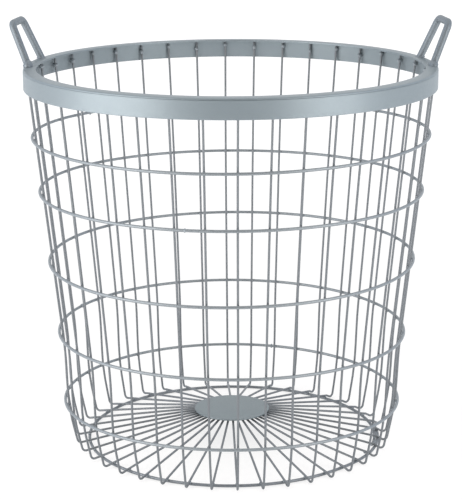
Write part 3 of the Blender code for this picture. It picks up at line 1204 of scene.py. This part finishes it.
@dataclass
class Handle:
    """A round-bar loop that stands on the flange, a little behind the middle, and leans out.

    Its feet have collars of weld, and a pool of weld runs from the front one over the band's corner.
    """

    form: BasketForm
    side: Side
    back_turn: float = math.radians(8.0)
    rod: float = 0.0075
    foot_inset: float = 0.006
    foot_spacing: float = 0.056
    top_spacing: float = 0.041
    rise: float = 0.0413
    lean_out: float = 0.0174
    bend_radius: float = 0.0075
    bend_steps: int = 14
    sides: int = 28
    collar_width: float = 0.0017
    collar_height: float = 0.0026
    collar_cuts: tuple[float, float] = (0.3, 0.6)
    collar_hollow: float = 0.16
    collar_ripples: int = 5
    ripple_height: float = 0.05
    collar_smooth_angle: float = math.radians(70.0)
    pool_ahead: float = 0.0065
    pool_inset: float = 0.0047
    pool_rise: float = 0.0004
    pool_size: tuple[float, float, float] = (0.0106, 0.0142, 0.0094)
    pool_rounding: int = 2

    @property
    def turn(self) -> float:
        """Angle of the handle's middle round the basket's axis."""
        return self.back_turn if self.side is Side.RIGHT else math.pi - self.back_turn

    def places(self) -> tuple[Vector, Vector, Vector, Vector]:
        """Return the feet and top corners of the centre line, before the handle is turned.

        Returns:
            The front foot, the front and back corners, and the back foot.
        """
        foot_radius = self.form.rim_radius - self.foot_inset
        top_radius = foot_radius + self.lean_out
        top_height = self.form.body_height + self.rise
        front_foot = Vector((foot_radius, -self.foot_spacing / 2, self.form.body_height))
        back_foot = Vector((foot_radius, self.foot_spacing / 2, self.form.body_height))
        front_top = Vector((top_radius, -self.top_spacing / 2, top_height))
        back_top = Vector((top_radius, self.top_spacing / 2, top_height))
        return front_foot, front_top, back_top, back_foot

    def build(self, paint: Material) -> None:
        """Bend the bar, cut its feet level with the flange and weld them down.

        Args:
            paint: The handle's material.
        """
        name = self.side.value
        front_foot, front_top, back_top, back_foot = self.places()
        run_on = self.rod / self.rise
        front_end = front_foot + (front_foot - front_top) * run_on
        back_end = back_foot + (back_foot - back_top) * run_on
        first = Corner.between(front_end, front_top, back_top, self.bend_radius)
        second = Corner.between(front_top, back_top, back_end, self.bend_radius)
        bar = WireRun(f"{name}_bar", self.rod, self.sides)
        bar.start(front_end, front_end - front_top)
        bar.run(first.start - front_end)
        bar.bend(first.centre, first.axis, first.sweep, self.bend_steps)
        bar.run(second.start - first.end)
        bar.bend(second.centre, second.axis, second.sweep, self.bend_steps)
        bar.run(back_end - second.end)
        cut = UP * (self.form.body_height + self.form.gap)
        bpy.ops.mesh.select_all(action="SELECT")
        bpy.ops.mesh.bisect(plane_co=cut, plane_no=UP, use_fill=True, clear_inner=True)
        piece = close_up(bar.piece)
        piece.data.transform(Matrix.Rotation(self.turn, 4, "Z"))
        dress(piece, paint, PaintSlot.HANDLE, name)
        collars = [self.collar(front_foot, front_top, 0), self.collar(back_foot, back_top, 1)]
        welds = join_up(collars, f"{name}_foot_welds")
        welds.data.transform(Matrix.Rotation(self.turn, 4, "Z"))
        dress(welds, paint, PaintSlot.HANDLE)

    def collar(self, foot: Vector, top: Vector, number: int) -> Piece:
        """Model the fillet of weld round a foot.

        Args:
            foot: Where the bar's centre line meets the flange.
            top: The bar's top corner, which it leans towards.
            number: Which foot it is.

        Returns:
            A hollow-sided cone that sits on the flange and leans with the bar.
        """
        start_by_hand()
        lean = (top - foot) * (self.collar_height / (top.z - foot.z))
        bpy.ops.mesh.primitive_cone_add(
            vertices=self.sides,
            radius1=self.rod / 2 + self.collar_width,
            radius2=self.rod / 2,
            depth=self.collar_height,
            location=foot + UP * (self.collar_height / 2),
        )
        piece = open_up(f"{self.side.value}_collar_{number}")
        for share in self.collar_cuts:
            bpy.ops.mesh.select_all(action="SELECT")
            level = foot + UP * (self.collar_height * share)
            bpy.ops.mesh.bisect(plane_co=level, plane_no=UP)
        close_up(piece, self.collar_smooth_angle)
        for corner in piece.data.vertices:
            share = (corner.co.z - foot.z) / self.collar_height
            hollow = 1 - self.collar_hollow * math.sin(math.pi * share)
            turn = math.atan2(corner.co.y - foot.y, corner.co.x - foot.x)
            wave = math.sin(self.collar_ripples * turn + number)
            ripple = 1 + self.ripple_height * wave * (1 - share)
            flat = Vector((corner.co.x - foot.x, corner.co.y - foot.y, 0.0)) * hollow * ripple
            corner.co = foot + flat + lean * share
        return piece

    def pool(self, beads: WeldBeads, paint: Material) -> Piece:
        """Lay the pool of weld that runs from the front foot over the band's outer corner.

        Args:
            beads: What lays the beads.
            paint: The handle's material.

        Returns:
            The finished pool.
        """
        forwards = -math.copysign(1.0, math.cos(self.turn))
        ahead = math.atan2(self.foot_spacing / 2 + self.pool_ahead, self.form.rim_radius)
        out = outwards(self.turn + forwards * ahead)
        place = out * (self.form.rim_radius - self.pool_inset)
        place += UP * (self.form.body_height + self.pool_rise)
        spot = (joint_frame(place, out, UP), Vector(self.pool_size))
        piece = beads.lay(f"{self.side.value}_pool", [spot], PaintSlot.HANDLE, paint)
        take_up(piece)
        rounding = piece.modifiers.new("rounding", "SUBSURF")
        rounding.levels = rounding.render_levels = self.pool_rounding
        bpy.ops.object.modifier_apply(modifier=rounding.name)
        return piece


@dataclass(frozen=True)
class Lamp:
    """A soft box.

    Attributes:
        name: The lamp's name.
        place: Where its middle is.
        target: The point that it faces.
        size: Its width and height.
        power: Its power in watts.
    """

    name: str
    place: tuple[float, float, float]
    target: tuple[float, float, float]
    size: tuple[float, float]
    power: float


@dataclass
class Studio:
    """The camera, the pale floor, the white surround and the soft boxes.

    The axis fields are the picture's column and row that the camera's axis passes through. The glow
    fields are strengths, where 1 is white. The reach fields give the parts of the surround's unit
    sphere, along Y and along Z, over which one glow passes into the next.
    """

    image_size: tuple[int, int] = (462, 500)
    camera_place: tuple[float, float, float] = (0.0051, -1.7559, 0.6490)
    camera_pitch: float = math.radians(14.234)
    camera_roll: float = math.radians(-0.18)
    camera_lens: float = 125.02
    axis_column: float = 236.3
    axis_row: float = 250.1
    floor_width: float = 60.0
    floor_colour: str = "#EDEFF0"
    seen_floor_colour: str = "#979390"
    seen_floor_gain: float = 0.43
    daylight: str = "#FBFDFF"
    side_daylight: str = "#D3E4FF"
    side_glow: float = 0.58
    front_glow: float = 0.08
    front_reach: tuple[float, float] = (-0.9, 0.1)
    ceiling_glow: float = 2.2
    ceiling_mirrored: float = 1.3
    ceiling_reach: tuple[float, float] = (0.95, 0.25)
    floor_glow: float = 0.32
    far_floor_glow: float = 0.45
    fade_start: float = 0.3
    fade_end: float = 2.0
    dusk_end: float = 1.2
    lamps: tuple[Lamp, ...] = (
        Lamp("left_box", (-1.24, -0.76, 0.56), (0.0, 0.0, 0.30), (1.40, 1.1), 16.2),
        Lamp("right_box", (1.12, -0.92, 0.56), (0.0, 0.0, 0.30), (0.95, 1.1), 10.0),
    )

    def camera(self) -> None:
        """Set up the camera in front of the basket, a little above its rim."""
        data = bpy.data.cameras.new("front_camera")
        data.lens = self.camera_lens
        wide, high = self.image_size
        long_side = max(wide, high)
        data.shift_x = (wide / 2 - self.axis_column) / long_side
        data.shift_y = (self.axis_row - high / 2) / long_side
        item = bpy.data.objects.new("front_camera", data)
        tilt = Matrix.Rotation(math.pi / 2 - self.camera_pitch, 4, "X")
        roll = Matrix.Rotation(self.camera_roll, 4, "Z")
        item.matrix_world = Matrix.Translation(self.camera_place) @ tilt @ roll
        bpy.context.scene.collection.objects.link(item)
        bpy.context.scene.camera = item

    def mirrored(self, tree: Tree, path: bpy.types.Node) -> bpy.types.NodeSocket:
        """Return the output that is 1 on rays that gloss or glass sends on, and 0 on others."""
        rays = {0: path.outputs["Is Glossy Ray"], 1: path.outputs["Is Transmission Ray"]}
        return add_node(tree, "Math", rays, operation="MAXIMUM").outputs["Value"]

    def surround(self) -> None:
        """Light the scene from above, behind and the sides, and show the camera plain white."""
        world = bpy.data.worlds.new("white_surround")
        bpy.context.scene.world = world
        tree = empty_tree(world)
        place = add_node(tree, "TexCoord").outputs["Object"]
        axes = add_node(tree, "SeparateXYZ", {"Vector": place}).outputs
        path = add_node(tree, "LightPath")
        camera_ray = path.outputs["Is Camera Ray"]
        mirrored = self.mirrored(tree, path)
        # The paint mirrors white at the sides and behind, where matt faces get a softer glow.
        glows = {"Value": mirrored, "To Min": self.side_glow, "To Max": 1.0}
        sides = add_node(tree, "MapRange", glows).outputs["Result"]
        start, end = self.front_reach
        reach = {"Value": axes["Y"], "From Min": start, "From Max": end}
        behind = add_node(tree, "MapRange", reach, interpolation_type="SMOOTHSTEP").outputs["Result"]
        glows = {0: behind, 2: self.front_glow, 3: sides}
        around = add_node(tree, "Mix", glows, data_type="FLOAT").outputs[0]
        # The surround grows brighter overhead, and less so where the paint mirrors it.
        glows = {"Value": mirrored, "To Min": self.ceiling_glow, "To Max": self.ceiling_mirrored}
        overhead = add_node(tree, "MapRange", glows).outputs["Result"]
        start, end = self.ceiling_reach
        reach = {"Value": axes["Z"], "From Min": start, "From Max": end, "To Min": overhead}
        ceiling = add_node(tree, "MapRange", reach, interpolation_type="SMOOTHSTEP").outputs["Result"]
        shaded = add_node(tree, "Math", {0: around, 1: ceiling}, operation="MULTIPLY").outputs["Value"]
        strength = add_node(tree, "Math", {0: shaded, 1: camera_ray}, operation="MAXIMUM")
        # The light grows bluer towards both sides.
        sideways = add_node(tree, "Math", {0: axes["X"], 1: axes["X"]}, operation="MULTIPLY")
        tints = {
            "Factor": sideways.outputs["Value"],
            "A": linear_colour(self.daylight),
            "B": linear_colour(self.side_daylight),
        }
        sky = add_node(tree, "Mix", tints, data_type="RGBA").outputs["Result"]
        tints = {"Factor": camera_ray, "A": sky, "B": WHITE}
        tint = add_node(tree, "Mix", tints, data_type="RGBA").outputs["Result"]
        glow = add_node(tree, "Background", {"Color": tint, "Strength": strength.outputs["Value"]})
        add_node(tree, "OutputWorld", {"Surface": glow.outputs[0]})

    def floor_material(self) -> Material:
        """Make matt white board that keeps shadows and fades to the white surround.

        Returns:
            The material.
        """
        material = bpy.data.materials.new("matt_white_board")
        tree = empty_tree(material)
        path = add_node(tree, "LightPath")
        camera_ray = path.outputs["Is Camera Ray"]
        # The camera sees darker board with a steady glow added, so that its shadows look faint.
        colours = {
            "Factor": camera_ray,
            "A": linear_colour(self.floor_colour),
            "B": linear_colour(self.seen_floor_colour),
        }
        colour = add_node(tree, "Mix", colours, data_type="RGBA").outputs["Result"]
        board = add_node(tree, "BsdfDiffuse", {"Color": colour}).outputs[0]
        place = add_node(tree, "TexCoord").outputs["Object"]
        distance = add_node(tree, "VectorMath", {0: place}, operation="LENGTH").outputs["Value"]
        reach = {
            "Value": distance,
            "From Min": self.fade_start,
            "From Max": self.fade_end,
            "To Min": self.floor_glow,
            "To Max": self.far_floor_glow,
        }
        fade = add_node(tree, "MapRange", reach, interpolation_type="SMOOTHSTEP").outputs["Result"]
        # The paint mirrors the board's glow too, but dimmer in front, as it does the surround.
        axes = add_node(tree, "SeparateXYZ", {"Vector": place}).outputs
        reach = {
            "Value": axes["Y"],
            "From Min": -self.dusk_end,
            "From Max": -self.fade_start,
            "To Min": self.front_glow,
        }
        dusk = add_node(tree, "MapRange", reach, interpolation_type="SMOOTHSTEP").outputs["Result"]
        rays = {0: self.mirrored(tree, path), 1: dusk}
        dusky = add_node(tree, "Math", rays, operation="MULTIPLY").outputs["Value"]
        seen = add_node(tree, "Math", {0: camera_ray, 1: dusky}, operation="MAXIMUM").outputs["Value"]
        glow = add_node(tree, "Math", {0: seen, 1: fade}, operation="MULTIPLY").outputs["Value"]
        gains = {0: camera_ray, 1: self.seen_floor_gain, 2: glow}
        gained = add_node(tree, "Math", gains, operation="MULTIPLY_ADD").outputs["Value"]
        light = add_node(tree, "Emission", {"Color": WHITE, "Strength": gained}).outputs[0]
        both = add_node(tree, "AddShader", {0: board, 1: light}).outputs[0]
        add_node(tree, "OutputMaterial", {"Surface": both})
        return material

    def floor(self) -> None:
        """Lay the floor under the basket."""
        start_by_hand()
        bpy.ops.mesh.primitive_plane_add(size=self.floor_width, location=ORIGIN)
        item = bpy.context.active_object
        item.name = "studio_floor"
        item.data.materials.append(self.floor_material())

    def soft_boxes(self) -> None:
        """Hang the soft boxes where no camera ray meets them."""
        for lamp in self.lamps:
            data = bpy.data.lights.new(lamp.name, "AREA")
            data.shape = "RECTANGLE"
            data.size, data.size_y = lamp.size
            data.energy = lamp.power
            item = bpy.data.objects.new(lamp.name, data)
            item.location = lamp.place
            facing = Vector(lamp.target) - Vector(lamp.place)
            item.rotation_euler = facing.to_track_quat("-Z", "Y").to_euler()
            item.visible_camera = False
            bpy.context.scene.collection.objects.link(item)

    def build(self) -> None:
        """Set up the whole studio."""
        bpy.context.scene.view_settings.view_transform = "Standard"
        self.camera()
        self.surround()
        self.floor()
        self.soft_boxes()


def main() -> None:
    """Build the basket piece by piece, then the studio around it."""
    logging.basicConfig(level=logging.INFO, format="%(message)s")
    form = BasketForm.from_frame()
    paints = Paintwork()
    wire_paint = paints.wire.material()
    beads = WeldBeads(paints.bead.material())
    beads.make_model()
    rim = RimBand(form)
    rim.build(paints.band.material())
    rim.tacks(beads)
    uprights = Uprights(form)
    uprights.build(wire_paint)
    Hoops(form, uprights).build(paints.hoop.material(), beads)
    BaseRing(form).build(paints.ring.material(), beads)
    CentrePlate(form).build(paints.plate.material(), beads)
    bar_paint = paints.bar.material()
    for side in Side:
        handle = Handle(form, side)
        handle.build(bar_paint)
        handle.pool(beads, bar_paint)
    discard(beads.model)
    Studio().build()


if __name__ == "__main__":
    main()
